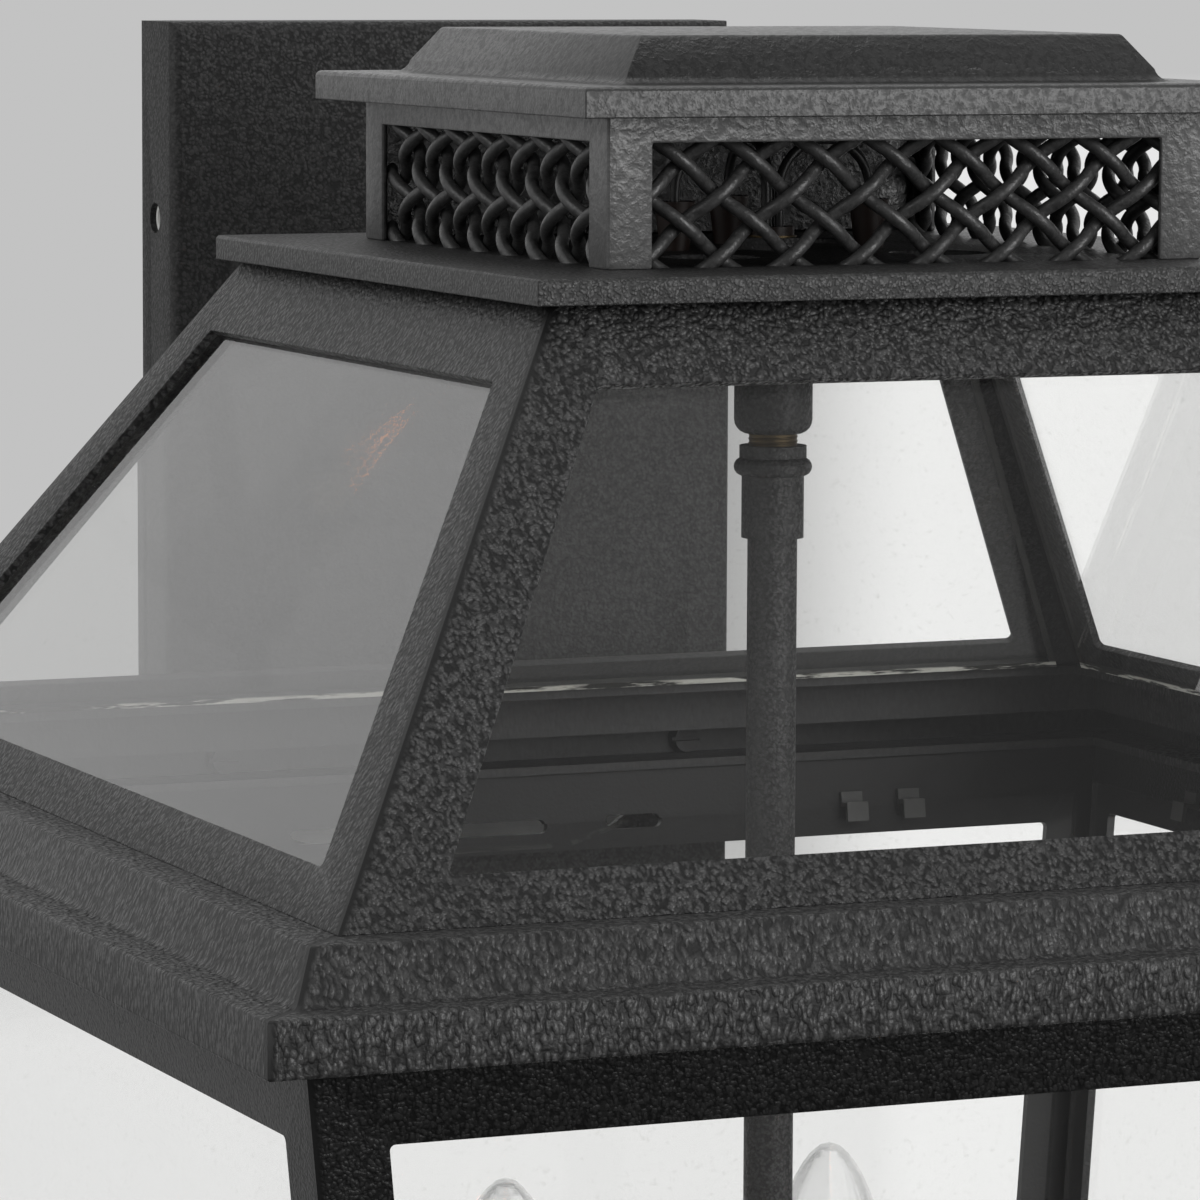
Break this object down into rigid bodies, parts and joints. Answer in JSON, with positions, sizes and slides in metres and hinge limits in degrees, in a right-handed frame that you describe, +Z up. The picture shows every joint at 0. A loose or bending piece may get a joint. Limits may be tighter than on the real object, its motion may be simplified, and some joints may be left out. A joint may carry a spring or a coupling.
{
  "type": "wall lantern",
  "caption": "Square wall lantern with a vented cap, a glazed hipped roof, a stepped crown, a tapered glazed body, candle lamps on a hanging stem and a deep wall plate.",
  "frame": {"origin": "on the wall plane, midway between the two outlet box screws, at the middle of the wall plate", "axes": "+Y into the wall, +Z up, +X to the right as seen by someone who faces the wall; the lantern hangs on the -Y side"},
  "size_m": [0.349, 0.3705, 0.5947],
  "materials": {
    "powder_coat": "dark weathered grey powder coat with a fine hammered grain",
    "mesh_wire": "dark weathered grey coat on drawn wire",
    "pane_glass": "clear polished",
    "lamp_glass": "clear polished",
    "lamp_metal": "bright",
    "brass": "bare brass, slightly dull",
    "plated_steel": "zinc plated",
    "socket_plastic": "matt phenolic",
    "sealant": "translucent silicone",
    "connector_plastic": "satin",
    "wire_insulation": "satin"
  },
  "bodies": {
    "root": {"cap": "powder_coat", "cage_frame": "powder_coat", "mesh_front": "mesh_wire", "mesh_right": "mesh_wire", "mesh_left": "mesh_wire", "collar_plate": "powder_coat", "roof_frame": "powder_coat", "roof_glass_front": "pane_glass", "roof_glass_right": "pane_glass", "roof_glass_rear": "pane_glass", "roof_glass_left": "pane_glass", "roof_glazing_beads": "sealant", "crown": "powder_coat", "body_frame": "powder_coat", "body_glass_front": "pane_glass", "body_glass_right": "pane_glass", "body_glass_rear": "pane_glass", "body_glass_left": "pane_glass", "body_glass_clips": "plated_steel", "base_band": "powder_coat", "wall_plate": "powder_coat", "mounting_bracket": "plated_steel", "crown_screws": "powder_coat", "crown_nuts": "plated_steel", "stem_nut": "brass", "stem_nipple": "brass", "upper_coupling": "powder_coat", "lower_coupling": "powder_coat", "stem_pipe": "powder_coat", "cluster_hub": "powder_coat", "cluster_finial": "powder_coat", "arm_1": "powder_coat", "arm_2": "powder_coat", "arm_3": "powder_coat", "arm_4": "powder_coat", "drip_cup_1": "powder_coat", "drip_cup_2": "powder_coat", "drip_cup_3": "powder_coat", "drip_cup_4": "powder_coat", "socket_1": "socket_plastic", "socket_2": "socket_plastic", "socket_3": "socket_plastic", "socket_4": "socket_plastic", "candle_sleeve_1": "powder_coat", "candle_sleeve_2": "powder_coat", "candle_sleeve_3": "powder_coat", "candle_sleeve_4": "powder_coat", "lamp_glass_1": "lamp_glass", "lamp_glass_2": "lamp_glass", "lamp_glass_3": "lamp_glass", "lamp_glass_4": "lamp_glass", "lamp_base_1": "lamp_metal", "lamp_base_2": "lamp_metal", "lamp_base_3": "lamp_metal", "lamp_base_4": "lamp_metal", "nipple_bushing": "connector_plastic", "wire_connectors": "connector_plastic", "lead_wires": "wire_insulation"}
  },
  "joints": []
}
